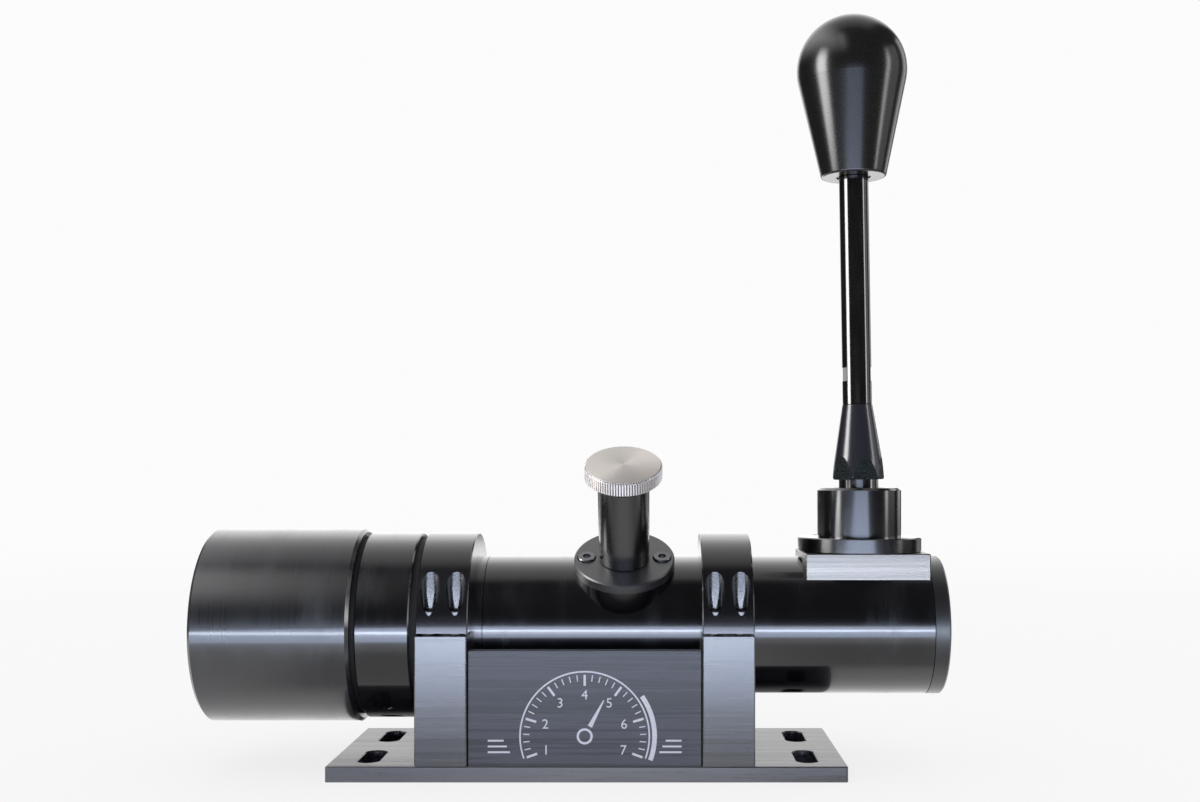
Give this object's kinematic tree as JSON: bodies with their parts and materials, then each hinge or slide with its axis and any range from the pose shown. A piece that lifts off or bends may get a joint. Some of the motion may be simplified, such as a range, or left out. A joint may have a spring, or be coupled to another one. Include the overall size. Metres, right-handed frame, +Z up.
{
  "type": "sim racing gear shifter",
  "caption": "Sequential shifter: a sprung lever on a round tube, clamped to a slotted base plate, with a knurled detent adjuster and a cup that houses springs and sensor.",
  "frame": {"origin": "centre of the base plate's underside", "axes": "+X along the tube towards the lever, +Y away from the driver's view of the front panel, +Z up"},
  "size_m": [0.2952, 0.0904, 0.3054],
  "materials": {
    "black_aluminium": "satin black anodised",
    "brushed_black_aluminium": "brushed, dark anodised",
    "panel_aluminium": "black anodised with a fine horizontal brushing",
    "plate_aluminium": "brushed, dark anodised",
    "black_steel": "black oxide",
    "polished_black_steel": "polished black",
    "knob_black": "satin black",
    "nickel": "turned and knurled, bright",
    "ground_steel": "ground",
    "spring_steel": "drawn wire",
    "bronze": "turned",
    "brass": "turned",
    "black_rubber": "matt",
    "acetal": "turned",
    "circuit_green": "solder mask",
    "chip_black": "moulded",
    "socket_metal": "plated",
    "magnet_plate": "plated"
  },
  "bodies": {
    "frame": {"base_plate": "plate_aluminium", "left_clamp_base": "brushed_black_aluminium", "right_clamp_base": "brushed_black_aluminium", "left_clamp_cap": "black_aluminium", "right_clamp_cap": "black_aluminium", "clamp_screws": "black_steel", "base_screws": "black_steel", "front_panel": "panel_aluminium", "rear_panel": "panel_aluminium", "panel_screws": "black_steel", "main_tube": "black_aluminium", "housing_flange": "black_aluminium", "housing_seal": "black_rubber", "clamp_seal": "black_rubber", "spring_housing": "black_aluminium", "end_cap": "black_aluminium", "end_cap_screws": "black_steel", "saddle_block": "brushed_black_aluminium", "turret": "black_aluminium", "ball_race": "acetal", "turret_screws": "black_steel", "rear_bush": "bronze", "front_bush": "bronze", "front_carrier": "black_aluminium", "carrier_screw": "black_steel", "front_return_spring": "spring_steel", "rear_return_spring": "spring_steel", "front_bump_stop": "black_rubber", "rear_bump_stop": "black_rubber", "spring_retainer": "ground_steel", "sensor_board": "circuit_green", "hall_sensor": "chip_black", "usb_socket": "socket_metal", "board_screws": "ground_steel", "adjuster_flange": "black_aluminium", "adjuster_screws": "black_steel", "adjuster_post": "black_aluminium", "plunger_guide": "bronze", "detent_spring": "spring_steel"},
    "lever": {"pivot_ball": "black_steel", "pivot_pins": "ground_steel", "lever_stud": "ground_steel", "cone_nut": "black_aluminium", "lever_rod": "polished_black_steel", "knob_insert": "brass", "gear_knob": "knob_black"},
    "selector": {"selector_rod": "ground_steel", "spring_piston": "ground_steel", "piston_pin": "ground_steel", "magnet": "magnet_plate"},
    "plunger": {"detent_plunger": "ground_steel"},
    "spring_button": {"spring_seat": "ground_steel"},
    "adjuster": {"thumb_screw": "nickel"}
  },
  "joints": [
    {"name": "lever_pivot", "type": "hinge", "parent": "frame", "child": "lever", "pos_m": [0.11, 0, 0.102], "axis": [0, 1, 0], "range_deg": [-7, 7], "stiffness_Nm_per_rad": 14},
    {"name": "selector_slide", "type": "slide", "parent": "frame", "child": "selector", "axis": [1, 0, 0], "range_m": [-0.0058, 0.0058], "deforming": ["front_return_spring", "rear_return_spring"]},
    {"name": "detent_lift", "type": "slide", "parent": "frame", "child": "plunger", "axis": [0, -0.5, 0.866], "range_m": [0, 0.002], "stiffness_N_per_m": 3000, "springref_m": -0.002, "deforming": ["detent_spring"]},
    {"name": "adjuster_feed", "type": "slide", "parent": "frame", "child": "spring_button", "axis": [0, -0.5, 0.866], "range_m": [-0.00187, 0.00374]},
    {"name": "adjuster_turn", "type": "hinge", "parent": "spring_button", "child": "adjuster", "pos_m": [0.014, 0, 0.056], "axis": [0, -0.5, 0.866], "range_deg": [-540, 1080]}
  ],
  "couplings": [
    {"joint": "selector_slide", "follows": "lever_pivot", "m_per_rad": -0.046},
    {"joint": "adjuster_turn", "follows": "adjuster_feed", "rad_per_m": 5026.5}
  ]
}
